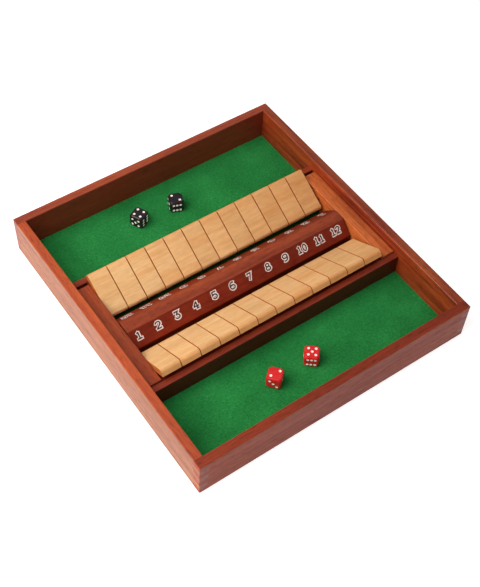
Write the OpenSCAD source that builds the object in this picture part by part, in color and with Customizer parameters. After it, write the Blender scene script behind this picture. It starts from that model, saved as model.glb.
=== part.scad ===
// Two-sided shut the box game: a finger-jointed case with a felt floor, a number bar
// across the middle, twelve hinged tiles on each side of it, and four loose dice.
// +X runs along the front wall, +Y to the rear wall, +Z up.
// The origin is the centre of the underside.

/* [Case] */
// Width of the case, along the front wall
case_w = 330; // [324:1:400]
// Depth of the case, from the front wall to the rear wall
case_d = 356; // [300:1:430]
// Height of the four walls
case_h = 47; // [44:0.5:70]
// Thickness of the four walls
wall_t = 10; // [8:0.5:14]
// Fingers in each corner joint, an odd number
finger_count = 7; // [5:2:9]
// Rounding of the case's outer edges, at the rim and at the corners
case_round = 1.2; // [0.4:0.1:2]
// Flat that eases the inner edge of the rim
rim_ease = 0.5; // [0.2:0.1:1]
// Thickness of the base panel
base_t = 6; // [4:0.5:8]
// How far the base panel is let into each wall
rebate = 5; // [3:0.5:6]
// Thickness of the felt
felt_t = 1.5; // [1:0.1:2.5]
// Gap left for glue between joined faces
glue_gap = 0.05; // [0.02:0.01:0.1]

/* [Tiles] */
// Distance from one tile to the next along a row
tile_pitch = 22.8; // [19:0.1:22.9]
// Gap between two tiles side by side
tile_gap = 1; // [0.4:0.1:1.5]
// Play between the left cheek and the row of tiles. What is left over is at the right.
end_play = 0.3; // [0.2:0.1:1.5]
// Length of a tile, from its round inner end to its tip
tile_len = 50; // [46:0.5:50.5]
// Thickness of a tile
tile_t = 8.4; // [6:0.1:10.5]
// Rounding of the upper edge at the tip
tip_round = 3.8; // [1:0.1:4]
// Rounding of a tile's long edges
edge_round = 0.4; // [0.2:0.1:1]
// Distance from the round inner end to the middle of the bore
bore_inset = 10.8; // [10:0.1:14]
// Slope at which an open tile lies
open_angle = 29.5; // [26:0.5:34]
// Gap between a tile and what it lies on, open or shut
lie_gap = 0.3; // [0.2:0.05:0.5]

/* [Rods] */
// Diameter of the steel rods
rod_d = 3; // [2:0.5:4]
// Distance of each rod from the centre line of the case
rod_y = 37.4; // [36:0.1:42]
// Height of the rods above the underside
rod_z = 24.9; // [24:0.1:29]
// Radial clearance of a tile's bore on its rod
bore_play = 0.08; // [0.03:0.01:0.1]
// Radial clearance of a rod in its blind holes
socket_play = 0.03; // [0.02:0.01:0.1]
// Depth of the blind holes in the cheeks
socket_depth = 12; // [6:1:14]

/* [Number bar] */
// Width of the flat top of the number bar
bar_top_w = 14.4; // [10:0.2:20]
// Width of the number bar below its slopes
bar_base_w = 43.6; // [36:0.2:46]
// Height of the top of the number bar above the underside
bar_top_z = 36; // [32:0.5:38]
// Height of the foot of each slope above the underside
bar_slope_z = 22.1; // [14:0.1:26]
// Flat that eases each long top edge of the number bar
bar_ease = 0.6; // [0.3:0.1:1.5]
// Gap between the number bar and the right cheek
bar_end_gap = 1.2; // [0.2:0.1:3]

/* [Cheeks, dividers and tile rests] */
// Distance from the middle of the case to the inner face of each cheek
cheek_x = 138; // [130:0.5:144]
// Height of the top of the cheeks above the underside
cheek_top_z = 35.5; // [33:0.5:42]
// Rounding of the upper edges of the cheeks
cheek_round = 1.4; // [0.5:0.1:3]
// Gap between the rear end of each cheek and the rear divider
cheek_end_gap = 5.2; // [0.5:0.1:8]
// Gap between each cheek and the wall beside it
cheek_side_gap = 0.6; // [0.1:0.1:1]
// Distance from the centre line to the outer face of each divider
divider_y = 79.5; // [78:0.5:90]
// Thickness of the dividers
divider_t = 7.5; // [6:0.5:8]
// Height of the top of the dividers above the underside
divider_top_z = 32.5; // [30:0.5:34]
// Rounding of the upper edges of the dividers
divider_round = 0.8; // [0.3:0.1:1.5]
// Height of the top of the tile rests above the underside
rest_top_z = 32.3; // [30:0.1:33]

/* [Dice] */
// Side of a die
die_side = 16; // [12:0.5:18]
// Rounding of a die's edges
die_round = 2.2; // [0.5:0.1:2.5]
// Radius of the ball that rounds off a die's corners
die_ball = 11.5; // [11:0.1:13]
// Distance of the outer pips from the middle of a face
pip_offset = 3.8; // [3:0.1:4]
// Radius of a pip
pip_r = 1.5; // [1:0.1:1.8]
// Depth of a pip
pip_depth = 0.45; // [0.2:0.05:0.8]

/* [Hidden] */
$fn = 64;
tile_count = 12;
numbers = ["01", "02", "03", "04", "05", "06", "07", "08", "09", "10", "11", "12"];

// The inner faces of the walls, and the top of the felt
inner_x = case_w / 2 - wall_t;
inner_y = case_d / 2 - wall_t;
felt_z = base_t + felt_t;
finger_h = case_h / finger_count;

// A tile seen from its end: its half thickness, and its reach beyond the bore
tile_r = tile_t / 2;
tile_w = tile_pitch - tile_gap;
row_x = -cheek_x + end_play;
divider_in = divider_y - divider_t;

// A tile rest reaches inward until its top edge carries the underside of an open tile
rest_in = rod_y + ((rest_top_z - rod_z) * cos(open_angle) + tile_r + lie_gap) / sin(open_angle);

// A shut tile leans on the shoulder of the number bar
shoulder = [rod_y - bar_top_w / 2, bar_top_z - rod_z];
shut_angle = atan2(shoulder.y, shoulder.x) + asin((tile_r + lie_gap) / norm(shoulder));
swing = 180 - open_angle - shut_angle;

mahogany = [0.50, 0.22, 0.12];
bar_brown = [0.42, 0.15, 0.09];
tile_tan = [0.88, 0.68, 0.44];
felt_green = [0.10, 0.42, 0.20];
rod_steel = [0.72, 0.72, 0.74];
die_red = [0.85, 0.05, 0.07];
die_black = [0.06, 0.06, 0.07];

// The part of a corner that belongs to the side walls: every second finger
module side_fingers(extra) {
    for (k = [1:2:finger_count - 2])
        translate([inner_x - extra, inner_y - 1, k * finger_h - extra])
            cube([wall_t + 2 * extra, wall_t + 1 + extra, finger_h + 2 * extra]);
}

// The space in the walls that takes the edge of the base panel
module base_rebate() {
    translate([-inner_x - rebate - glue_gap, -inner_y - rebate - glue_gap, -1])
        cube([2 * (inner_x + rebate + glue_gap), 2 * (inner_y + rebate + glue_gap), base_t + 1]);
}

// A rectangle centred on the origin with rounded corners
module rounded_rectangle(w, d, r) {
    square([w, d - 2 * r], center = true);
    square([w - 2 * r, d], center = true);
    for (x = [r - w / 2, w / 2 - r], y = [r - d / 2, d / 2 - r]) translate([x, y]) circle(r);
}

// A block from the origin to size, with its two upper edges along y rounded
module round_topped(size, r) {
    translate([0, size.y, 0]) rotate([90, 0, 0]) linear_extrude(size.y) {
        square([size.x, size.z - r]);
        translate([r, 0]) square([size.x - 2 * r, size.z]);
        for (x = [r, size.x - r]) translate([x, size.z - r]) circle(r);
    }
}

// The same block with all four upper edges rounded
module round_topped_all(size, r) {
    intersection() {
        round_topped(size, r);
        translate([size.x, 0, 0]) rotate([0, 0, 90]) round_topped([size.y, size.x, size.z], r);
    }
}

// A channel along y that widens upwards at 45 degrees from just below the rim
module widening_channel(half, length) {
    rotate([90, 0, 0]) linear_extrude(length, center = true)
        polygon([for (side = [-1, 1], z = [-side, side] * rim_ease)
            [side * (half + rim_ease + z), case_h + z]]);
}

// Walls keep what lies inside the case's rounded outline, and lose the inner edge of the rim
module eased_rim() {
    difference() {
        intersection() {
            children();
            linear_extrude(case_h) rounded_rectangle(case_w, case_d, case_round);
            translate([-case_w / 2, -case_d / 2, 0])
                round_topped_all([case_w, case_d, case_h], case_round);
        }
        intersection() {
            widening_channel(inner_x, case_d);
            rotate([0, 0, 90]) widening_channel(inner_y, case_w);
        }
    }
}

// The rear wall runs the full width and is cut away for the side walls' fingers
module end_wall() {
    color(mahogany)
    eased_rim() difference() {
        translate([-case_w / 2, inner_y, 0]) cube([case_w, wall_t, case_h]);
        for (side = [0, 1]) mirror([side, 0, 0]) side_fingers(glue_gap);
        base_rebate();
    }
}

// The right wall fits between the end walls and reaches through them with its fingers
module side_wall() {
    color(mahogany)
    eased_rim() difference() {
        union() {
            translate([inner_x, -inner_y + glue_gap, 0])
                cube([wall_t, 2 * (inner_y - glue_gap), case_h]);
            for (side = [0, 1]) mirror([0, side, 0]) side_fingers(0);
        }
        base_rebate();
    }
}

module front_wall() { rotate([0, 0, 180]) end_wall(); }
module rear_wall() { end_wall(); }
module left_wall() { rotate([0, 0, 180]) side_wall(); }
module right_wall() { side_wall(); }

module base_panel() {
    color(tile_tan)
    translate([-inner_x - rebate, -inner_y - rebate, 0])
        cube([2 * (inner_x + rebate), 2 * (inner_y + rebate), base_t]);
}

module felt_lining() {
    color(felt_green)
    translate([-inner_x, -inner_y, base_t]) cube([2 * inner_x, 2 * inner_y, felt_t]);
}

module divider() {
    color(mahogany)
    translate([inner_x, divider_in, felt_z]) rotate([0, 0, 90])
        round_topped([divider_t, 2 * inner_x, divider_top_z - felt_z], divider_round);
}

module tile_rest() {
    color(bar_brown)
    translate([-cheek_x, rest_in, felt_z])
        cube([2 * cheek_x, divider_in - rest_in, rest_top_z - felt_z]);
}

module front_divider() { rotate([0, 0, 180]) divider(); }
module rear_divider() { divider(); }
module front_tile_rest() { rotate([0, 0, 180]) tile_rest(); }
module rear_tile_rest() { tile_rest(); }

// The right cheek: a block that stands against the front divider, with round upper edges all
// round and two blind holes for the rods
module cheek() {
    size = [inner_x - cheek_x - cheek_side_gap, 2 * divider_in - cheek_end_gap,
            cheek_top_z - felt_z];
    color(mahogany)
    difference() {
        translate([cheek_x, -divider_in, felt_z]) round_topped_all(size, cheek_round);
        for (side = [-1, 1])
            translate([cheek_x - 1, side * rod_y, rod_z])
                rotate([0, 90, 0]) cylinder(r = rod_d / 2 + socket_play, h = socket_depth + 1);
    }
}

module left_cheek() { mirror([1, 0, 0]) cheek(); }
module right_cheek() { cheek(); }

// The bar's section: upright sides, two slopes for the numbers, and a flat top
module number_bar() {
    base = bar_base_w / 2;
    top = bar_top_w / 2;
    slope = norm([base - top, bar_top_z - bar_slope_z]);
    ease_y = bar_ease * (base - top) / slope;
    ease_z = bar_ease * (bar_top_z - bar_slope_z) / slope;
    side = [[base, felt_z], [base, bar_slope_z], [top + ease_y, bar_top_z - ease_z],
            [top - bar_ease, bar_top_z]];
    color(bar_brown)
    translate([row_x, 0, 0]) rotate([90, 0, 90]) linear_extrude(cheek_x - bar_end_gap - row_x)
        polygon(concat(side, [for (k = [3:-1:0]) [-side[k].x, side[k].y]]));
}

// The rear rod reaches into both cheeks, just short of the ends of their blind holes
module rod() {
    reach = cheek_x + socket_depth - lie_gap;
    color(rod_steel)
    translate([-reach, rod_y, rod_z]) rotate([0, 90, 0]) cylinder(d = rod_d, h = 2 * reach);
}

module front_rod() { rotate([0, 0, 180]) rod(); }
module rear_rod() { rod(); }

// A tile's side view, with its bore at the origin and its tip along +x
module tile_profile() {
    inner = -bore_inset + tile_r;
    tip = tile_len - bore_inset;
    translate([inner, 0]) circle(tile_r);
    translate([inner, -tile_r]) square([tip - tip_round - inner, tile_t]);
    translate([inner, -tile_r]) square([tip - inner, tile_t - tip_round]);
    translate([tip - tip_round, tile_r - tip_round]) circle(tip_round);
}

// A tile that lies along +x, with its width along z and its bore on the z axis
module flat_tile() {
    difference() {
        intersection() {
            linear_extrude(tile_w) tile_profile();
            translate([-bore_inset, 0, tile_w / 2]) rotate([90, 0, 90])
                linear_extrude(tile_len) rounded_rectangle(tile_t, tile_w, edge_round);
        }
        translate([0, 0, -1]) cylinder(r = rod_d / 2 + bore_play, h = tile_w + 2);
    }
}

// Tile k of a row, counted from the left as the front player sees it. side is -1 for the
// front row and 1 for the rear row.
module tile(k, side) {
    color(tile_tan)
    translate([row_x + k * tile_pitch, side * rod_y, rod_z])
        mirror([0, side < 0 ? 1 : 0, 0])
            rotate([open_angle, 0, 0]) rotate([90, 0, 90]) flat_tile();
}

// Pips of one face as places on a three by three grid. turn lays 2, 3 and 6 the other way.
function pips(n, turn) =
    n == 1 ? [[0, 0]] :
    n == 2 ? (turn ? [[-1, 1], [1, -1]] : [[-1, -1], [1, 1]]) :
    n == 3 ? concat(pips(2, turn), pips(1, turn)) :
    n == 4 ? [for (x = [-1, 1], y = [-1, 1]) [x, y]] :
    n == 5 ? concat(pips(4, turn), pips(1, turn)) :
    [for (a = [-1, 0, 1], b = [-1, 1]) turn ? [a, b] : [b, a]];

// A prism along z whose four long edges are rounded
module rounded_prism() {
    translate([0, 0, -die_side / 2])
        linear_extrude(die_side) rounded_rectangle(die_side, die_side, die_round);
}

// Hollows for the pips of the face that looks along +z
module pip_hollows(n, turn) {
    ball = (pip_r * pip_r + pip_depth * pip_depth) / (2 * pip_depth);
    for (place = pips(n, turn))
        translate([place.x * pip_offset, place.y * pip_offset, die_side / 2 + ball - pip_depth])
            sphere(ball);
}

// A die on the felt. seen lists the numbers on its top, its front and its right side, and
// turns which of them lie the other way. Opposite faces add up to seven.
module die(place, angle, seen, turns) {
    translate([place.x, place.y, felt_z + die_side / 2]) rotate([0, 0, angle]) difference() {
        intersection() {
            rounded_prism();
            rotate([90, 0, 0]) rounded_prism();
            rotate([0, 90, 0]) rounded_prism();
            sphere(die_ball, $fn = 96);
        }
        pip_hollows(seen[0], turns[0]);
        rotate([90, 0, 0]) pip_hollows(seen[1], turns[1]);
        rotate([90, 0, 90]) pip_hollows(seen[2], turns[2]);
        rotate([180, 0, 0]) pip_hollows(7 - seen[0], turns[0]);
        rotate([90, 0, 180]) pip_hollows(7 - seen[1], turns[1]);
        rotate([90, 0, -90]) pip_hollows(7 - seen[2], turns[2]);
    }
}

module red_die_1() { color(die_red) die([-37.5, -121.5], -50, [2, 3, 1], [false, true, false]); }
module red_die_2() { color(die_red) die([8.5, -121], -40, [5, 6, 4], [false, true, false]); }
module black_die_1() { color(die_black) die([-39, 130.5], -63, [4, 5, 6], [false, true, false]); }
module black_die_2() { color(die_black) die([7, 127.5], -21, [2, 6, 3], [true, true, false]); }

front_wall();
rear_wall();
left_wall();
right_wall();
base_panel();
felt_lining();
front_divider();
rear_divider();
front_tile_rest();
rear_tile_rest();
left_cheek();
right_cheek();
number_bar();
front_rod();
rear_rod();
for (k = [0:tile_count - 1]) {
    tile(k, -1);
    tile(tile_count - 1 - k, 1);
}
red_die_1();
red_die_2();
black_die_1();
black_die_2();
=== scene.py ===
import math

import bpy
from mathutils import Euler, Matrix, Vector, noise


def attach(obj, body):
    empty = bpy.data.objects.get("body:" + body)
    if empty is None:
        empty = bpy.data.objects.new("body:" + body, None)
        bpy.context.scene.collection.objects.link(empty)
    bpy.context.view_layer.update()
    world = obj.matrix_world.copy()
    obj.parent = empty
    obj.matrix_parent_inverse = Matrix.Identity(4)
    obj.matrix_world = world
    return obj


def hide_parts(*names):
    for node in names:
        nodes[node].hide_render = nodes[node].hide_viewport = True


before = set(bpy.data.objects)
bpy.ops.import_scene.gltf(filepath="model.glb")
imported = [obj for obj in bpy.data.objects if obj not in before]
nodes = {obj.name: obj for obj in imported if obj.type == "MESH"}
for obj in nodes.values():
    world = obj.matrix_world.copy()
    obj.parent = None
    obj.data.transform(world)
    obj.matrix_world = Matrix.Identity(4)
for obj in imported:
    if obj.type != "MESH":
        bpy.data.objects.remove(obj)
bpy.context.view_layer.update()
print("frame loaded with", len(nodes), "nodes")


def clearSelection():
    for thing in bpy.context.selected_objects:
        thing.select_set(False)
    bpy.context.view_layer.objects.active = None


def selectOnly(thing):
    clearSelection()
    thing.select_set(True)
    bpy.context.view_layer.objects.active = thing


def joinPieces(pieces, name):
    selectOnly(pieces[0])
    for piece in pieces:
        piece.select_set(True)
    bpy.ops.object.join()
    pieces[0].name = pieces[0].data.name = name
    return pieces[0]


def copyPiece(piece, place, name):
    # each copy has its own mesh, and its place goes into the mesh
    twin = piece.copy()
    twin.data = piece.data.copy()
    twin.name = name
    bpy.context.scene.collection.objects.link(twin)
    twin.data.transform(place)
    return twin


def paintOnly(piece, material):
    piece.data.materials.clear()
    piece.data.materials.append(material)


def addNode(tree, kind, inputs=None, **settings):
    node = tree.nodes.new(kind)
    for key, value in settings.items():
        setattr(node, key, value)
    for key, value in (inputs or {}).items():
        if isinstance(value, bpy.types.NodeSocket):
            tree.links.new(value, node.inputs[key])
        else:
            node.inputs[key].default_value = value
    return node


def calc(tree, operation, first, second=0.0, clamp=False):
    return addNode(tree, "ShaderNodeMath", {0: first, 1: second},
                   operation=operation, use_clamp=clamp).outputs[0]


def times(tree, first, second):
    return calc(tree, "MULTIPLY", first, second)


def plus(tree, first, second):
    return calc(tree, "ADD", first, second)


def vectorCalc(tree, operation, *values):
    return addNode(tree, "ShaderNodeVectorMath", dict(enumerate(values)), operation=operation).outputs[0]


def split(tree, vector):
    return addNode(tree, "ShaderNodeSeparateXYZ", {0: vector}).outputs


def combine(tree, x, y, z):
    return addNode(tree, "ShaderNodeCombineXYZ", {0: x, 1: y, 2: z}).outputs[0]


def remap(tree, value, low, high, newLow=0.0, newHigh=1.0):
    return addNode(tree, "ShaderNodeMapRange", {"Value": value, "From Min": low, "From Max": high,
                                                "To Min": newLow, "To Max": newHigh}).outputs[0]


def spread(tree, pattern, low, high):
    # a noise mostly lies between 0.3 and 0.7
    return remap(tree, pattern, 0.3, 0.7, low, high)


cameraView = {
    "place": (-0.42154730504, -0.55281864356, 0.90681151983),
    "right": (0.81849513, -0.57335837, 0.03641308),
    "up": (0.4388627, 0.66488257, 0.60442593),
    "back": (-0.37076308, -0.47873933, 0.79582874),
    "lens": 65.516, "sensor": 36,  # mm
    "nearest": 0.01,
}

softboxes = [
    {"name": "keySoftbox", "place": (-0.62, 0.10, 0.80), "aim": (0, 0, 0.02), "size": 0.9,
     "power": 10.0, "colour": (1.0, 0.985, 0.965)},
    {"name": "frontSoftbox", "place": (-0.5, -1.5, 0.9), "aim": (0, 0, 0.02), "size": 1.0,
     "power": 0.4, "colour": (0.97, 0.985, 1.0)},
]

surroundings = {
    "fill": 0.34,           # level of the light that comes from all round
    "fillColour": (1, 0.99, 0.98, 1),
    "seen": 1.0,            # what the camera and the reflections see, near the horizon
    "overhead": 0.35,       # and high above
    "fading": (0.2, 0.5),   # how high the one gives way to the other
    "tableSize": 9.0,
    "tableLevel": -0.0002,  # just under the case
    "tableGrey": 0.82,
    "tableGlow": 0.71,      # keeps the table white round the soft shadow
}


def newMaterial(name):
    material = bpy.data.materials.new(name)
    material.use_nodes = True
    material.node_tree.nodes.clear()
    return material, material.node_tree


def addCamera(view):
    clearSelection()
    bpy.ops.object.camera_add()
    camera = bpy.context.object
    camera.name = "tableCamera"
    turn = Matrix((view["right"], view["up"], view["back"])).transposed().to_4x4()
    camera.matrix_world = Matrix.Translation(view["place"]) @ turn
    camera.data.lens = view["lens"]
    camera.data.sensor_width = view["sensor"]
    camera.data.clip_start = view["nearest"]
    bpy.context.scene.camera = camera


def addSoftbox(box):
    bpy.ops.object.light_add(type="AREA", location=box["place"])
    lamp = bpy.context.object
    lamp.name = box["name"]
    lamp.rotation_euler = (Vector(box["place"]) - Vector(box["aim"])).to_track_quat("Z", "Y").to_euler()
    lamp.data.shape = "SQUARE"
    lamp.data.size = box["size"]
    lamp.data.energy = box["power"]
    lamp.data.color = box["colour"]


def seenDirectly(tree):
    # 1 for rays from the camera, from gloss and from clear things
    path = addNode(tree, "ShaderNodeLightPath").outputs
    both = calc(tree, "ADD", path["Is Camera Ray"], path["Is Glossy Ray"], clamp=True)
    return calc(tree, "ADD", both, path["Is Transmission Ray"], clamp=True)


def lightTheRoom(room):
    world = bpy.data.worlds.new("paleStudio")
    bpy.context.scene.world = world
    world.use_nodes = True
    tree = world.node_tree
    tree.nodes.clear()
    fill = addNode(tree, "ShaderNodeBackground", {"Color": room["fillColour"], "Strength": room["fill"]})
    up = split(tree, addNode(tree, "ShaderNodeTexCoord").outputs["Generated"])[2]
    level = remap(tree, up, *room["fading"], room["seen"], room["overhead"])
    seen = addNode(tree, "ShaderNodeBackground", {"Color": (1, 1, 1, 1), "Strength": level})
    mixed = addNode(tree, "ShaderNodeMixShader",
                    {0: seenDirectly(tree), 1: fill.outputs[0], 2: seen.outputs[0]})
    addNode(tree, "ShaderNodeOutputWorld", {"Surface": mixed.outputs[0]})


def layTable(room):
    bpy.ops.mesh.primitive_plane_add(size=room["tableSize"], location=(0, 0, room["tableLevel"]))
    table = bpy.context.object
    table.name = "table"
    material, tree = newMaterial("paleTable")
    grey = room["tableGrey"]
    board = addNode(tree, "ShaderNodeBsdfDiffuse", {"Color": (grey, grey, grey, 1)})
    glow = addNode(tree, "ShaderNodeEmission", {"Color": (1, 1, 1, 1), "Strength": room["tableGlow"]})
    dark = addNode(tree, "ShaderNodeEmission", {"Color": (0, 0, 0, 1), "Strength": 0.0})
    shown = addNode(tree, "ShaderNodeMixShader",
                    {0: seenDirectly(tree), 1: dark.outputs[0], 2: glow.outputs[0]})
    both = addNode(tree, "ShaderNodeAddShader", {0: board.outputs[0], 1: shown.outputs[0]})
    addNode(tree, "ShaderNodeOutputMaterial", {"Surface": both.outputs[0]})
    table.data.materials.append(material)


bpy.context.scene.view_settings.view_transform = "Standard"
addCamera(cameraView)
for softbox in softboxes:
    addSoftbox(softbox)
lightTheRoom(surroundings)
layTable(surroundings)
print("camera, softboxes and table are set")


def colour(red, green, blue, tone=(1.0, 1.0, 1.0)):
    # from 0 to 255 as a picture shows it, to the light that it stands for
    parts = [c / 255 for c in (red, green, blue)]
    lights = [c / 12.92 if c <= 0.04045 else ((c + 0.055) / 1.055) ** 2.4 for c in parts]
    return tuple(light * t for light, t in zip(lights, tone)) + (1.0,)


def mixColours(tree, factor, first, second, how="MIX"):
    mixer = addNode(tree, "ShaderNodeMix", data_type="RGBA", blend_type=how)
    for index, value in ((0, factor), (6, first), (7, second)):
        if isinstance(value, bpy.types.NodeSocket):
            tree.links.new(value, mixer.inputs[index])
        else:
            mixer.inputs[index].default_value = value
    return mixer.outputs[2]


def stainWhere(tree, share, tint, strengths):
    # multiplies red, green and blue by their strengths, as far as share goes: real stains, and also painted
    # light and painted shade on some faces
    stained = mixColours(tree, 1.0, tint, strengths + (1.0,), "MULTIPLY")
    return mixColours(tree, share, tint, stained)


def cloud(tree, where, scale, detail=2.0, rough=0.5, swirl=0.0):
    return addNode(tree, "ShaderNodeTexNoise",
                   {"Vector": where, "Scale": scale, "Detail": detail, "Roughness": rough,
                    "Distortion": swirl}).outputs[0]


def colourRamp(tree, value, stops, shades):
    ramp = addNode(tree, "ShaderNodeValToRGB", {0: value})
    marks = ramp.color_ramp.elements
    while len(marks) < len(stops):
        marks.new(0.5)
    for mark, place, shade in zip(marks, stops, shades):
        mark.position = place
        mark.color = shade
    return ramp.outputs[0]


def placeAlong(tree, source, grain, stretch, turn=(0.0, 0.0, 0.0), shift=(0.0, 0.0, 0.0)):
    # object coordinates, squeezed along the grain so that patterns run long that way
    scale = [1.0, 1.0, 1.0]
    scale["xyz".index(grain)] = stretch
    return addNode(tree, "ShaderNodeMapping", {"Vector": source, "Location": shift,
                                               "Rotation": turn, "Scale": scale}).outputs[0]


def objectPlace(tree):
    return addNode(tree, "ShaderNodeTexCoord").outputs["Object"]


def bumpFrom(tree, height, strength, depth):
    return addNode(tree, "ShaderNodeBump", {"Height": height, "Strength": strength,
                                            "Distance": depth}).outputs[0]


def finishSurface(tree, sockets):
    surface = addNode(tree, "ShaderNodeBsdfPrincipled", sockets)
    addNode(tree, "ShaderNodeOutputMaterial", {"Surface": surface.outputs[0]})


# colours run from 0 to 255 as a picture shows them, and rough goes from the glossiest to the dullest
wallWood = {"pale": (184, 78, 42), "middle": (171, 67, 36), "deep": (150, 54, 30),
            "hair": 1.0, "pore": 0.4, "figure": 60.0, "streak": 260.0, "long": 0.035, "mottle": 0.08,
            "ior": 1.37, "rough": (0.40, 0.54), "bump": 0.25, "edge": 0.35, "edgeColour": (205, 105, 60)}
frontWood = {**wallWood, "ior": 1.31}
bandedWood = {**wallWood, "pale": (206, 96, 42), "middle": (174, 70, 32), "deep": (112, 36, 20),
              "figure": 110.0}
cheekWood = {"pale": (206, 108, 58), "middle": (186, 91, 47), "deep": (156, 68, 34),
             "hair": 1.0, "pore": 0.4, "figure": 55.0, "streak": 260.0, "long": 0.035, "mottle": 0.08,
             "ior": 1.4, "rough": (0.40, 0.54), "bump": 0.25, "edge": 0.3, "edgeColour": (214, 122, 70)}
barWood = {"pale": (134, 37, 14), "middle": (118, 30, 12), "deep": (100, 24, 10),
           "hair": 1.0, "pore": 0.35, "figure": 60.0, "streak": 160.0, "long": 0.06, "mottle": 0.12,
           "ior": 1.24, "rough": (0.36, 0.48), "bump": 0.2, "edge": 0.2, "edgeColour": (150, 70, 46)}
tileWood = {"pale": (247, 200, 143), "middle": (240, 187, 127), "deep": (233, 171, 107),
            "hair": 0.4, "pore": 0.06, "figure": 70.0, "streak": 260.0, "long": 0.05, "mottle": 0.06,
            "ior": 1.4, "rough": (0.42, 0.52), "bump": 0.1, "edge": 0.6, "edgeColour": (222, 148, 88)}
baseWood = {"pale": (222, 186, 138), "middle": (206, 166, 116), "deep": (178, 136, 90),
            "hair": 1.0, "pore": 0.2, "figure": 26.0, "streak": 200.0, "long": 0.018, "mottle": 0.04,
            "ior": 1.4, "rough": (0.6, 0.75), "bump": 0.3, "edge": 0.2, "edgeColour": (190, 150, 105)}

# patterns that all the woods share, where "long" squeezes a pattern along the grain
woodPatterns = {
    "drift": {"long": 0.25, "scale": 14.0, "detail": 2.0},
    "figure": {"long": 0.09, "detail": 3.0, "rough": 0.55, "swirl": 0.3},
    "streak": {"detail": 5.0, "rough": 0.68},
    "fibre": {"long": 0.04, "scale": 2100.0, "detail": 2.0},
    "dash": {"long": 0.08, "scale": 1250.0, "detail": 1.0, "rough": 0.4},
    "blotch": {"long": 0.5, "scale": 16.0, "detail": 2.0},
    "mottle": {"long": 0.45, "scale": 240.0, "detail": 3.0, "rough": 0.6},
}
woodFinish = {
    "wander": 0.012,                   # m that the grain strays
    "skew": {"x": 0.02, "y": -0.025},  # radians between a board and its grain
    "shadeStops": (0.36, 0.5, 0.64),
    "poreRange": (0.58, 0.70),
    "fibreDarker": 0.1, "fibreLighter": 0.08,
    "blotchLight": (0.93, 1.06),
    "endGrain": 0.72,                  # how light a cut end is beside its board
    "endFacing": (0.75, 0.95), "stainAndPaintedLightFacing": (0.7, 0.93), "edgeFacing": (0.985, 0.86),
    "edgeWearAndLightScale": 90.0, "edgeWearAndLightRange": (0.35, 0.65), "leastEdgeWearAndLight": 0.25,
    "poreDull": 0.15, "fibreHeight": 0.5, "depth": 0.00012, "coatRough": 0.3,
}
tileRow = {
    "start": -0.1377, "pitch": 0.0228, "slack": 0.0004,  # m
    "lean": math.radians(29.5),
    "jump": (0.6, 0.6, 0.6),   # m at most between the places that two tiles are cut from
    "light": (0.96, 1.03),
    "redder": (-0.09, 0.13),   # m from the middle, where the boards turn redder
}


def woodPattern(tree, name, where, cut, turn=(0.0, 0.0, 0.0), **own):
    look = {**woodPatterns[name], **own}
    placed = placeAlong(tree, where, cut["grain"], look["long"], turn, cut["shift"])
    return cloud(tree, placed, look["scale"], look["detail"], look.get("rough", 0.5), look.get("swirl", 0.0))


def cutPerTile(tree, where, seed):
    # each tile is cut from another place in the board, and a little lighter or darker
    along = calc(tree, "SUBTRACT", split(tree, where)[0], tileRow["start"] - tileRow["slack"])
    count = calc(tree, "FLOOR", calc(tree, "DIVIDE", along, tileRow["pitch"]))
    chance = addNode(tree, "ShaderNodeTexWhiteNoise", {"W": plus(tree, count, seed)},
                     noise_dimensions="1D").outputs
    moved = vectorCalc(tree, "ADD", where, vectorCalc(tree, "MULTIPLY", chance["Color"], tileRow["jump"]))
    return moved, remap(tree, chance["Value"], 0.0, 1.0, *tileRow["light"])


def edgeMask(tree, normal):
    # 1 on rounded edges, where the surface looks between two axes, and 0 on the flats
    axes = split(tree, vectorCalc(tree, "ABSOLUTE", normal))
    most = calc(tree, "MAXIMUM", calc(tree, "MAXIMUM", axes[0], axes[1]), axes[2])
    return remap(tree, most, *woodFinish["edgeFacing"])


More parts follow.
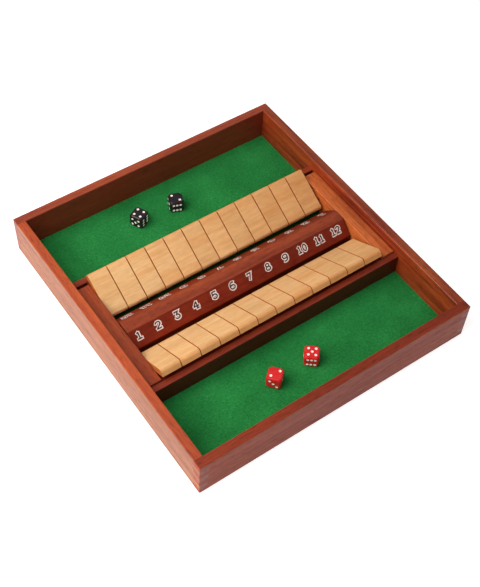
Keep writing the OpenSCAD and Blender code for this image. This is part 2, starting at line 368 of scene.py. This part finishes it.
def woodMaterial(name, wood, cut):
    material, tree = newMaterial(name)
    finish = woodFinish
    tone = cut.get("tone", (1.0, 1.0, 1.0))
    lean = cut.get("lean", 0.0)
    perTile = "rightward" in cut
    spot = addNode(tree, "ShaderNodeTexCoord").outputs
    where = spot["Object"]
    if perTile:
        where, tileLight = cutPerTile(tree, where, cut["shift"][0] * 10)
    # the grain wanders a little
    drift = woodPattern(tree, "drift", where, cut)
    bend = times(tree, calc(tree, "SUBTRACT", drift, 0.5), finish["wander"])
    where = vectorCalc(tree, "ADD", where, combine(tree, bend, bend, bend))
    skew = finish["skew"][cut["grain"]]
    tilt = (lean, 0.0, skew) if cut["grain"] == "x" else (0.0, lean, skew)

    figure = woodPattern(tree, "figure", where, cut, tilt, scale=wood["figure"])
    streak = woodPattern(tree, "streak", where, cut, tilt, scale=wood["streak"], long=wood["long"])
    fibre = woodPattern(tree, "fibre", where, cut, tilt)
    pore = remap(tree, woodPattern(tree, "dash", where, cut, tilt), *finish["poreRange"])
    blotch = woodPattern(tree, "blotch", where, cut)
    mottle = woodPattern(tree, "mottle", where, cut)

    mixed = plus(tree, times(tree, figure, 0.5), times(tree, streak, 0.5))
    shades = [colour(*wood[key], tone) for key in ("deep", "middle", "pale")]
    tint = colourRamp(tree, mixed, finish["shadeStops"], shades)
    fine = spread(tree, fibre, 1.0 - finish["fibreDarker"] * wood["hair"],
                  1.0 + finish["fibreLighter"] * wood["hair"])
    broad = spread(tree, blotch, *finish["blotchLight"])
    small = spread(tree, mottle, 1.0 - wood["mottle"], 1.0 + wood["mottle"])
    light = times(tree, times(tree, fine, broad), small)
    if perTile:
        light = times(tree, light, tileLight)
    normal = spot["Normal"]
    if lean:
        normal = addNode(tree, "ShaderNodeMapping", {"Vector": normal, "Rotation": (lean, 0, 0)},
                         vector_type="NORMAL").outputs[0]
    # end grain soaks up the finish in its own way
    facing = split(tree, vectorCalc(tree, "ABSOLUTE", normal))
    ends = remap(tree, facing["xyz".index(cut["grain"])], *finish["endFacing"],
                 1.0, cut.get("ends", finish["endGrain"]))
    light = times(tree, light, ends)
    light = times(tree, light, remap(tree, pore, 0.0, 1.0, 1.0, 1.0 - wood["pore"]))
    tint = mixColours(tree, 1.0, tint, combine(tree, light, light, light), "MULTIPLY")
    # some faces are tinted on their own: sawn tips took the stain differently, a much lighter top over dark
    # sides is painted light and shade, darker tile flanks are painted shade in the seams, and the left wall's
    # paler flanks are a painted reflection
    for axis, key in ((2, "top"), (1, "alongY"), (0, "alongX")):
        if key in cut:
            share = remap(tree, facing[axis], *finish["stainAndPaintedLightFacing"])
            tint = stainWhere(tree, share, tint, cut[key])
    if perTile:
        # the boards are a little redder towards the right
        share = remap(tree, split(tree, spot["Object"])[0], *tileRow["redder"])
        tint = stainWhere(tree, share, tint, cut["rightward"])
    # handled edges are worn; the edge colour is also a painted highlight where it is lighter than the wood,
    # and painted shade on the tiles' darker rounded edges
    patches = cloud(tree, where, finish["edgeWearAndLightScale"], detail=3.0, rough=0.6)
    worn = remap(tree, patches, *finish["edgeWearAndLightRange"], finish["leastEdgeWearAndLight"] * wood["edge"], wood["edge"])
    edgeWearAndLightShare = times(tree, edgeMask(tree, normal), worn)
    tint = mixColours(tree, edgeWearAndLightShare, tint, colour(*wood["edgeColour"], tone))

    glossy, dull = wood["rough"]
    rough = spread(tree, streak, dull, glossy)
    rough = calc(tree, "ADD", rough, times(tree, pore, finish["poreDull"]), clamp=True)
    height = calc(tree, "SUBTRACT", times(tree, fibre, finish["fibreHeight"]), pore)
    finishSurface(tree, {"Base Color": tint, "Roughness": rough,
                         "Normal": bumpFrom(tree, height, wood["bump"], finish["depth"]),
                         "IOR": wood["ior"], "Coat Weight": cut.get("coat", 0.0),
                         "Coat Roughness": finish["coatRough"]})
    return material


nodeFinish = {
    "weld": 0.000004,                 # m, joins the loose triangles
    "flatAngle": math.radians(0.2),   # triangles that bend less become one face
    "creaseAngle": math.radians(32),  # edges that bend more stay crisp, or are eased
    "easeSteps": 3,
}


def makeCreaser(angle):
    # shades smoothly over shallow edges only
    group = bpy.data.node_groups.new("creaseByAngle", "GeometryNodeTree")
    group.interface.new_socket("Geometry", in_out="INPUT", socket_type="NodeSocketGeometry")
    group.interface.new_socket("Geometry", in_out="OUTPUT", socket_type="NodeSocketGeometry")
    arriving = addNode(group, "NodeGroupInput").outputs[0]
    bent = addNode(group, "GeometryNodeInputMeshEdgeAngle").outputs[0]
    steep = addNode(group, "FunctionNodeCompare", {0: bent, 1: angle}, operation="GREATER_THAN").outputs[0]
    creased = addNode(group, "GeometryNodeSetShadeSmooth",
                      {"Geometry": arriving, "Selection": steep, "Shade Smooth": False}, domain="EDGE")
    addNode(group, "NodeGroupOutput", {0: creased.outputs[0]})
    return group


creaser = makeCreaser(nodeFinish["creaseAngle"])


def dressNode(name, material, easing=0.0):
    # the CAD mesh stays as it is: modifiers join its loose triangles, then ease its edges
    node = nodes[name]
    paintOnly(node, material)
    for face in node.data.polygons:
        face.use_smooth = True
        face.material_index = 0
    weld = node.modifiers.new("joined", "WELD")
    weld.merge_threshold = nodeFinish["weld"]
    whole = node.modifiers.new("wholeFaces", "DECIMATE")
    whole.decimate_type = "DISSOLVE"
    whole.angle_limit = nodeFinish["flatAngle"]
    if easing:
        ease = node.modifiers.new("easedEdges", "BEVEL")
        ease.width = easing
        ease.segments = nodeFinish["easeSteps"]
        ease.limit_method = "ANGLE"
        ease.angle_limit = nodeFinish["creaseAngle"]
        ease.use_clamp_overlap = True
    node.modifiers.new("creases", "NODES").node_group = creaser
    flat = node.modifiers.new("flatFaces", "WEIGHTED_NORMAL")
    flat.keep_sharp = True


# each cut has the way of its grain, its place in the board, and strengths of red, green and blue
wallCuts = [
    {"node": "front_wall", "grain": "x", "shift": (0.3, 1.1, 0.2), "tone": (0.77, 0.75, 0.54),
     "top": (0.84, 0.82, 1.3), "ends": 1.5, "wood": frontWood},
    # the rear wall's dark tone with a much lighter top is painted shade on its shaded faces, partly a darker
    # stain
    {"node": "rear_wall", "grain": "x", "shift": (1.7, 0.4, 0.9), "tone": (0.56, 0.46, 0.66),
     "top": (1.62, 2.3, 1.7), "ends": 1.7, "coat": 0.2},
    # the left wall's paler, greener flanks (alongX) are a painted reflection
    {"node": "left_wall", "grain": "y", "shift": (2.3, 0.7, 1.4), "tone": (1.12, 1.2, 1.1),
     "top": (1.06, 1.12, 0.96), "alongX": (0.94, 1.66, 1.3), "ends": 0.55, "coat": 0.15},
    {"node": "right_wall", "grain": "y", "shift": (0.9, 2.6, 0.5), "tone": (0.82, 0.7, 0.68),
     "top": (0.8, 0.98, 1.1), "ends": 0.75, "coat": 0.2, "wood": bandedWood},
    {"node": "left_cheek", "grain": "y", "shift": (3.1, 0.2, 2.2), "tone": (0.84, 0.95, 0.8)},
    # the dividers' dark tone with a much lighter top is painted shade on their shaded faces, partly a darker
    # stain
    {"node": "front_divider", "grain": "x", "shift": (4.1, 1.9, 0.3), "tone": (0.24, 0.12, 0.25),
     "top": (2.8, 4.9, 2.6)},
    {"node": "rear_divider", "grain": "x", "shift": (2.9, 4.4, 1.1), "tone": (0.5, 0.5, 0.5),
     "top": (1.6, 1.6, 1.6)},
]
for cut in wallCuts:
    dressNode(cut["node"], woodMaterial(cut["node"] + "_wood", cut.get("wood", wallWood), cut))

cheekCut = {"grain": "y", "shift": (0.1, 3.3, 1.9), "tone": (1.3, 1.42, 1.2)}
dressNode("right_cheek", woodMaterial("right_cheek_wood", cheekWood, cheekCut))

# the bar's much lighter, greyer top over its darker slopes is painted light and a painted reflection
barCut = {"grain": "x", "shift": (1.2, 3.8, 2.7), "tone": (0.98, 0.8, 0.6), "top": (1.75, 5.2, 10.0),
          "easing": 0.0005}
dressNode("number_bar", woodMaterial("number_bar_wood", barWood, barCut), barCut["easing"])

restCut = {"grain": "x", "shift": (5.2, 0.8, 3.7), "tone": (0.7, 0.7, 0.7), "easing": 0.0004}
restMaterial = woodMaterial("tile_rest_wood", barWood, restCut)
for side in ("front", "rear"):
    dressNode(side + "_tile_rest", restMaterial, restCut["easing"])

baseCut = {"grain": "x", "shift": (0.6, 5.3, 4.1), "easing": 0.0003}
dressNode("base_panel", woodMaterial("base_plywood", baseWood, baseCut), baseCut["easing"])

tileCuts = {
    # alongX darkens and reddens the tile flanks: painted shade in the seams between the tiles
    "front": {"grain": "x", "shift": (0.35, 0, 0), "lean": tileRow["lean"],
              "alongY": (1.06, 0.86, 0.68), "alongX": (1.05, 0.58, 0.3), "rightward": (0.96, 0.88, 0.8)},
    "rear": {"grain": "x", "shift": (0.81, 0, 0), "lean": -tileRow["lean"],
             "alongY": (1.06, 0.86, 0.68), "alongX": (1.05, 0.58, 0.3), "rightward": (0.89, 0.73, 0.6)},
}
for side, cut in tileCuts.items():
    tileMaterial = woodMaterial(side + "_tile_wood", tileWood, cut)
    for number in range(1, 13):
        dressNode(f"{side}_tile_{number:02d}", tileMaterial)
print("wooden parts are dressed")


rodSteel = {"deep": (74, 68, 66), "pale": (104, 97, 94), "shadeStops": (0.35, 0.65), "long": 0.01,
            "scale": 2600.0, "rough": (0.28, 0.42), "bump": 0.15, "depth": 0.00005}


def steelMaterial(steel):
    # drawn steel, blackened
    material, tree = newMaterial("darkSteel")
    lines = cloud(tree, placeAlong(tree, objectPlace(tree), "x", steel["long"]), steel["scale"])
    tint = colourRamp(tree, lines, steel["shadeStops"], [colour(*steel["deep"]), colour(*steel["pale"])])
    finishSurface(tree, {"Base Color": tint, "Roughness": spread(tree, lines, *steel["rough"]),
                         "Normal": bumpFrom(tree, lines, steel["bump"], steel["depth"]), "Metallic": 1.0})
    return material


rodMaterial = steelMaterial(rodSteel)
for side in ("front", "rear"):
    dressNode(side + "_rod", rodMaterial)
print("rods are dressed")


feltSheet = {
    "width": 0.3100, "length": 0.3360, "bottom": 0.0060, "top": 0.0075, "cell": 0.0025,
    "dip": 0.00012, "dipScale": 45,    # m at most, and how close together the dips lie
    "smoothAngle": math.radians(40),
}
feltWool = {
    "deep": (24, 104, 48), "middle": (38, 132, 62), "pale": (58, 164, 86),
    "shadeStops": (0.42, 0.54, 0.68),
    "paintedShadeUnderTiles": (0.45, 0.5, 0.5),     # strengths of red, green and blue of the painted shade under the tiles
    "paintedShadeEdge": (0.074, 0.070),     # m from the middle
    "warp": 0.004, "warpScale": 260.0,
    "hairs": [{"scale": 2400.0, "turn": 0.6, "shift": (0, 0, 0)},
              {"scale": 2200.0, "turn": -0.9, "shift": (1, 1, 1)}],
    "hairLong": 0.16, "clumpScale": 420.0, "patchScale": 28.0,
    "hair": 0.5, "clump": 0.28, "patch": 0.22,   # shares of the colour
    "height": 0.6, "bump": 0.55, "depth": 0.0004,
    "rough": 0.95, "specular": 0.1, "sheen": 0.12, "sheenRough": 0.6, "sheenColour": (120, 190, 120),
}


def layFelt(felt):
    clearSelection()
    bpy.ops.mesh.primitive_grid_add(x_subdivisions=round(felt["width"] / felt["cell"]),
                                    y_subdivisions=round(felt["length"] / felt["cell"]),
                                    size=1, location=(0, 0, felt["top"]))
    sheet = bpy.context.object
    sheet.name = sheet.data.name = "felt_sheet"
    sheet.scale = (felt["width"], felt["length"], 1)
    bpy.ops.object.transform_apply(location=True, rotation=False, scale=True)
    # laid flat by hand: it never rises above its level, and dips a little here and there
    for point in sheet.data.vertices:
        point.co.z -= felt["dip"] * (0.5 + 0.5 * noise.noise(point.co * felt["dipScale"]))
    bpy.ops.object.mode_set(mode="EDIT")
    bpy.ops.mesh.select_all(action="SELECT")
    bpy.ops.mesh.extrude_region_move()
    bpy.ops.transform.resize(value=(1, 1, 0), center_override=(0, 0, felt["bottom"]))
    bpy.ops.mesh.select_all(action="SELECT")
    bpy.ops.mesh.normals_make_consistent(inside=False)
    bpy.ops.object.mode_set(mode="OBJECT")
    bpy.ops.object.shade_smooth_by_angle(angle=felt["smoothAngle"])
    return sheet


def feltMaterial(wool):
    material, tree = newMaterial("greenFelt")
    where = objectPlace(tree)
    bend = times(tree, cloud(tree, where, wool["warpScale"]), wool["warp"])
    bent = vectorCalc(tree, "ADD", where, combine(tree, bend, times(tree, bend, -1.0), bend))
    # matted wool: fibres lie in two main directions, over soft clumps
    hairs = []
    for way in wool["hairs"]:
        placed = placeAlong(tree, bent, "x", wool["hairLong"], (0, 0, way["turn"]), way["shift"])
        hairs.append(cloud(tree, placed, way["scale"], detail=3.0, rough=0.6))
    hair = calc(tree, "MAXIMUM", *hairs)
    clump = cloud(tree, where, wool["clumpScale"], detail=4.0, rough=0.6)
    patch = cloud(tree, where, wool["patchScale"], detail=3.0, rough=0.55)
    mixed = plus(tree, times(tree, hair, wool["hair"]), times(tree, clump, wool["clump"]))
    mixed = plus(tree, mixed, times(tree, patch, wool["patch"]))
    shades = [colour(*wool[key]) for key in ("deep", "middle", "pale")]
    tint = colourRamp(tree, mixed, wool["shadeStops"], shades)
    # painted shade: the felt is darkened under the tiles
    away = calc(tree, "ABSOLUTE", split(tree, where)[1])
    under = remap(tree, away, *wool["paintedShadeEdge"])
    tint = mixColours(tree, under, tint, wool["paintedShadeUnderTiles"] + (1.0,), "MULTIPLY")
    height = plus(tree, times(tree, hair, wool["height"]), times(tree, clump, wool["height"]))
    finishSurface(tree, {"Base Color": tint, "Roughness": wool["rough"],
                         "Normal": bumpFrom(tree, height, wool["bump"], wool["depth"]),
                         "Specular IOR Level": wool["specular"], "Sheen Weight": wool["sheen"],
                         "Sheen Roughness": wool["sheenRough"], "Sheen Tint": colour(*wool["sheenColour"])})
    return material


sheetPiece = layFelt(feltSheet)
sheetPiece.data.materials.append(feltMaterial(feltWool))
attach(sheetPiece, "case")
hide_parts("felt_lining")
print("felt is laid")


# the number bar's slopes, in m
bar = {"topHalf": 0.0072, "baseHalf": 0.0218, "topLevel": 0.0360, "slopeLevel": 0.0221}

numberPaint = {
    # mm: half a stroke's width, how far it runs on past its ends, and how high it stands on the wood
    "line": {"half": 1.75, "reach": 0.9, "rise": 0.05},
    "ink": {"half": 0.92, "reach": 0.0, "rise": 0.08},
    "inkShift": (-0.2, 0.15, 0),
    "footDrop": 3.85,      # mm from the middle of a drawn digit to its foot
    "tall": 0.91,          # share of the drawn height that is kept
    "frontDrop": 8.05,     # mm from the top edge of the slope to the middle of a number
    "rearDrop": 10.8,
    "frontStart": -127.3, "frontStep": 22.7,
    "rearStart": 125.2, "rearStep": 22.68,
    "slim": 0.78, "apart": 3.35,           # two digits side by side
    "nudges": {5: 0.3, 7: -1.2, 10: -0.4, 12: -0.4},  # mm, as the front row was stamped
    "smoothAngle": math.radians(40),
}
whitePaint = {"fresh": (248, 234, 230), "worn": (206, 168, 158), "rough": 0.42}
inkPaint = {"fresh": (43, 22, 24), "worn": (92, 34, 24), "rough": 0.4}


def arc(middle, wide, tall, start, end, steps):
    turns = [math.radians(start + (end - start) * k / steps) for k in range(steps + 1)]
    return [(middle[0] + wide * math.cos(t), middle[1] + tall * math.sin(t)) for t in turns]


# middle lines of the strokes in mm, 7.7 high, with their foot at 0
digitStrokes = {
    "0": [arc((0, 3.85), 2.5, 3.85, 90, 450, 28)],
    "1": [[(0.1, 0), (0.1, 7.7)], [(-1.7, 6.2), (0.1, 7.7)], [(-2.6, 0), (2.7, 0)]],
    "2": [arc((0, 5.5), 2.6, 2.2, 175, -25, 14) + [(-2.6, 0)], [(-2.9, 0), (2.9, 0)]],
    "3": [[(-2.1, 6.5), (-2.1, 7.7), (1.6, 7.7), (-0.4, 4.6)] + arc((0, 2.25), 2.6, 2.25, 78, -165, 16)],
    "4": [[(1.1, 0), (1.1, 7.8)], [(0.9, 7.6), (-2.9, 2.4)], [(-3.3, 2.4), (3.4, 2.4)],
          [(-0.6, 0), (2.8, 0)]],
    "5": [[(2.5, 7.7), (-1.9, 7.7), (-2.2, 3.9)] + arc((0, 2.45), 2.6, 2.45, 125, -160, 16)],
    "6": [arc((0.5, 4.1), 3.2, 3.6, 58, 180, 10) + [(-2.7, 2.4)], arc((0, 2.3), 2.7, 2.3, 90, 450, 24)],
    "7": [[(-1.6, 6.1), (-1.6, 7.7), (2.4, 7.7), (-0.4, 0)]],
    "8": [arc((0, 5.85), 2.0, 1.85, 90, 450, 22), arc((0, 2.05), 2.6, 2.05, 90, 450, 24)],
    "9": [arc((-0.5, 3.6), 3.2, 3.6, 238, 360, 10) + [(2.7, 5.3)], arc((0, 5.4), 2.7, 2.3, 90, 450, 24)],
}


def stretchEnds(points, reach):
    # the stroke runs on straight past both of its ends
    longer = list(points)
    for end, inner in ((0, 1), (-1, -2)):
        run = Vector(points[end]) - Vector(points[inner])
        longer[end] = tuple(Vector(points[end]) + run.normalized() * reach)
    return longer


def strokeCurve(name, strokes, pen, paint, squeeze):
    # one flat curve with a round bevel, made a mesh and pressed thin
    path = bpy.data.curves.new(name, "CURVE")
    path.dimensions = "2D"
    path.fill_mode = "NONE"
    path.bevel_depth = pen["half"]
    path.bevel_resolution = 2
    path.use_fill_caps = True
    for stroke in strokes:
        closed = math.dist(stroke[0], stroke[-1]) < 0.01
        points = stroke[:-1] if closed else stretchEnds(stroke, pen["reach"])
        spline = path.splines.new("POLY")
        spline.points.add(len(points) - 1)
        for point, (x, y) in zip(spline.points, points):
            point.co = (x * squeeze, paint["tall"] * (y - paint["footDrop"]), 0, 1)
        spline.use_cyclic_u = closed
    piece = bpy.data.objects.new(name, path)
    bpy.context.scene.collection.objects.link(piece)
    selectOnly(piece)
    bpy.ops.object.convert(target="MESH")
    piece = bpy.context.object
    piece.data.transform(Matrix.Diagonal((1, 1, pen["rise"] / pen["half"], 1)))
    return piece


def makeDigits(paint, squeeze):
    # the white outlines of all ten digits, then their ink
    return [{digit: strokeCurve(kind + digit, strokes, paint[kind], paint, squeeze)
             for digit, strokes in digitStrokes.items()} for kind in ("line", "ink")]


# how paint lies, on wood and on plastic
paintCoat = {"patchScale": 900.0, "grainScale": 1300.0, "grainLong": 0.06, "shadeStops": (0.36, 0.5),
             "roughMore": 0.12, "bump": 0.2, "depth": 0.0001, "glowColour": (1, 0.86, 0.8, 1)}


def paintMaterial(name, paint):
    material, tree = newMaterial(name)
    where = objectPlace(tree)
    patchy = cloud(tree, where, paintCoat["patchScale"], detail=3.0, rough=0.6)
    grain = cloud(tree, placeAlong(tree, where, "x", paintCoat["grainLong"]), paintCoat["grainScale"])
    mixed = plus(tree, times(tree, patchy, 0.5), times(tree, grain, 0.5))
    tint = colourRamp(tree, mixed, paintCoat["shadeStops"], [colour(*paint["worn"]), colour(*paint["fresh"])])
    rough = spread(tree, patchy, paint["rough"], paint["rough"] + paintCoat["roughMore"])
    # any glow set here is painted light
    finishSurface(tree, {"Base Color": tint, "Roughness": rough,
                         "Normal": bumpFrom(tree, grain, paintCoat["bump"], paintCoat["depth"]),
                         "Emission Color": paintCoat["glowColour"],
                         "Emission Strength": paint.get("glow", 0.0)})
    return material


def slopePlace(across, down, rear):
    # from mm on the sloped face, across from the middle and down from its top edge, to m in the frame
    rise = Vector((0, bar["baseHalf"] - bar["topHalf"], bar["topLevel"] - bar["slopeLevel"])).normalized()
    right = Vector((1, 0, 0))
    outward = right.cross(rise)
    spot = Vector((0, -bar["topHalf"], bar["topLevel"])) - rise * down / 1000
    place = Matrix.Translation(spot) @ Matrix((right, rise, outward)).transposed().to_4x4()
    if rear:
        place = Matrix.Rotation(math.pi, 4, "Z") @ place
    return Matrix.Translation((across / 1000, 0, 0)) @ place @ Matrix.Scale(0.001, 4)


def paintNumbers(paint):
    wide = makeDigits(paint, 1.0)
    slim = makeDigits(paint, paint["slim"])
    outlineMaterial = paintMaterial("numberWhite", whitePaint)
    inkMaterial = paintMaterial("numberInk", inkPaint)
    inkShift = Matrix.Translation(paint["inkShift"])
    for side in ("front", "rear"):
        outlines, inks = [], []
        way = -1 if side == "rear" else 1
        for number in range(1, 13):
            digits = str(number)
            middle = paint[side + "Start"] + way * (number - 1) * paint[side + "Step"]
            if side == "front":
                middle += paint["nudges"].get(number, 0)
            lineShapes, inkShapes = wide if len(digits) == 1 else slim
            for index, digit in enumerate(digits):
                offset = 0.0 if len(digits) == 1 else (2 * index - 1) * paint["apart"]
                place = slopePlace(middle + way * offset, paint[side + "Drop"], side == "rear")
                label = f"{side}{number}{index}"
                outlines.append(copyPiece(lineShapes[digit], place, "line" + label))
                inks.append(copyPiece(inkShapes[digit], place @ inkShift, "ink" + label))
        for group, name, material in ((outlines, "_numbers_outline", outlineMaterial),
                                      (inks, "_numbers_ink", inkMaterial)):
            piece = joinPieces(group, side + name)
            paintOnly(piece, material)
            bpy.ops.object.shade_smooth_by_angle(angle=paint["smoothAngle"])
            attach(piece, "case")
    for shapes in (*wide, *slim):
        for spare in shapes.values():
            bpy.data.objects.remove(spare)


paintNumbers(numberPaint)
print("numbers are painted")


dieShape = {
    # mm
    "half": 8.0, "feltLevel": 7.5, "pipOffset": 3.8,
    "hollowBall": 2.725, "hollowDepth": 0.45,  # radius of the ball that hollows a pip, and how deep it goes
    "paint": 0.03, "paintWall": 0.16,          # how high the paint stands in the hollow, and its shell
    "rim": 0.012,                              # how far under the face the paint ends
}
pipMesh = {"segments": 28, "rings": 40, "smoothAngle": math.radians(50)}
# glow is painted light: the white pips glow a little though they are no lamp
pipPaint = {"fresh": (243, 224, 214), "worn": (228, 208, 198), "rough": 0.3, "glow": 0.18}
# places in mm, turns in degrees, and the pips seen on the top and on the two sides towards the camera
dice = [
    {"node": "red_die_1", "place": (-37.5, -121.5), "turn": -50,
     "seen": (2, 3, 1), "flips": (False, True, False)},
    {"node": "red_die_2", "place": (8.5, -121.0), "turn": -40,
     "seen": (5, 6, 4), "flips": (False, True, False)},
    {"node": "black_die_1", "place": (-39.0, 130.5), "turn": -63,
     "seen": (4, 5, 6), "flips": (False, True, False)},
    {"node": "black_die_2", "place": (7.0, 127.5), "turn": -21,
     "seen": (2, 6, 3), "flips": (True, True, False)},
]
# degrees that turn the top to each face: the three that show, then those opposite them
dieFaces = [(0, 0, 0), (90, 0, 0), (90, 0, 90), (180, 0, 0), (90, 0, 180), (90, 0, -90)]
diePlastics = {
    # the red body's raised green and blue are partly a painted reflection, a pale veil over the red
    "red": {"body": (234, 46, 48), "deep": (216, 34, 36), "clear": 0.12},
    "black": {"body": (42, 34, 41), "deep": (28, 22, 27), "clear": 0.0},
}
dieGloss = {
    "hazeScale": 160.0, "shadeStops": (0.35, 0.6), "rough": (0.13, 0.2), "ior": 1.42,
    "scuffScale": 2600.0, "scuffLong": 0.2, "scuffTurn": (0.4, 0.3, 0.5), "scuffRange": (0.62, 0.75),
    "scuffRough": 0.12, "bump": 0.05, "depth": 0.00006, "clearRadius": (0.002, 0.0004, 0.0003),
}


def pipPlaces(count, flip):
    two = [(-1, 1), (1, -1)] if flip else [(-1, -1), (1, 1)]
    four = [(x, y) for x in (-1, 1) for y in (-1, 1)]
    six = [(a, b) if flip else (b, a) for a in (-1, 0, 1) for b in (-1, 1)]
    return {1: [(0, 0)], 2: two, 3: two + [(0, 0)], 4: four, 5: four + [(0, 0)], 6: six}[count]


def makePip(shape, mesh):
    # a thin bowl of white paint in mm, opening upwards at the die's face
    radius = shape["hollowBall"] - shape["paint"]
    middle = shape["half"] + shape["hollowBall"] - shape["hollowDepth"]
    clearSelection()
    bpy.ops.mesh.primitive_uv_sphere_add(segments=mesh["segments"], ring_count=mesh["rings"],
                                         radius=radius, location=(0, 0, middle))
    bowl = bpy.context.object
    bpy.ops.object.transform_apply(location=True, rotation=False, scale=False)
    bpy.ops.object.mode_set(mode="EDIT")
    bpy.ops.mesh.select_all(action="SELECT")
    bpy.ops.mesh.bisect(plane_co=(0, 0, shape["half"] - shape["rim"]), plane_no=(0, 0, 1), clear_outer=True)
    bpy.ops.mesh.select_all(action="SELECT")
    bpy.ops.mesh.flip_normals()
    bpy.ops.object.mode_set(mode="OBJECT")
    wall = bowl.modifiers.new("wall", "SOLIDIFY")
    wall.thickness = shape["paintWall"]
    wall.offset = -1
    bpy.ops.object.modifier_apply(modifier="wall")
    bpy.ops.object.shade_smooth_by_angle(angle=mesh["smoothAngle"])
    return bowl


def plasticMaterial(name, plastic, gloss):
    material, tree = newMaterial(name)
    where = objectPlace(tree)
    haze = cloud(tree, where, gloss["hazeScale"], detail=3.0, rough=0.55)
    placed = placeAlong(tree, where, "x", gloss["scuffLong"], gloss["scuffTurn"])
    scuff = cloud(tree, placed, gloss["scuffScale"], detail=4.0, rough=0.7)
    shades = [colour(*plastic["deep"]), colour(*plastic["body"])]
    rough = plus(tree, spread(tree, haze, *gloss["rough"]),
                 remap(tree, scuff, *gloss["scuffRange"], 0.0, gloss["scuffRough"]))
    finishSurface(tree, {"Base Color": colourRamp(tree, haze, gloss["shadeStops"], shades),
                         "Roughness": rough,
                         "Normal": bumpFrom(tree, scuff, gloss["bump"], gloss["depth"]),
                         "IOR": gloss["ior"], "Subsurface Weight": plastic["clear"],
                         "Subsurface Radius": gloss["clearRadius"], "Subsurface Scale": 1.0})
    return material


def finishDie(die, shape, bowl, plastic, white):
    dressNode(die["node"], plastic)
    place = Matrix.Translation((*die["place"], shape["feltLevel"] + shape["half"]))
    place = Matrix.Scale(0.001, 4) @ place @ Matrix.Rotation(math.radians(die["turn"]), 4, "Z")
    bowls = []
    for index, look in enumerate(dieFaces):
        # opposite faces add up to seven
        count = die["seen"][index] if index < 3 else 7 - die["seen"][index - 3]
        face = Euler([math.radians(a) for a in look], "XYZ").to_matrix().to_4x4()
        for x, y in pipPlaces(count, die["flips"][index % 3]):
            offset = Matrix.Translation((x * shape["pipOffset"], y * shape["pipOffset"], 0))
            bowls.append(copyPiece(bowl, place @ face @ offset, f"pip{len(bowls)}"))
    pips = joinPieces(bowls, die["node"] + "_pips")
    paintOnly(pips, white)
    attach(pips, die["node"])


pipBowl = makePip(dieShape, pipMesh)
pipMaterial = paintMaterial("pipWhite", pipPaint)
plastics = {key: plasticMaterial(key + "DiePlastic", looks, dieGloss) for key, looks in diePlastics.items()}
for die in dice:
    finishDie(die, dieShape, pipBowl, plastics[die["node"].split("_")[0]], pipMaterial)
bpy.data.objects.remove(pipBowl)
print("dice are finished")
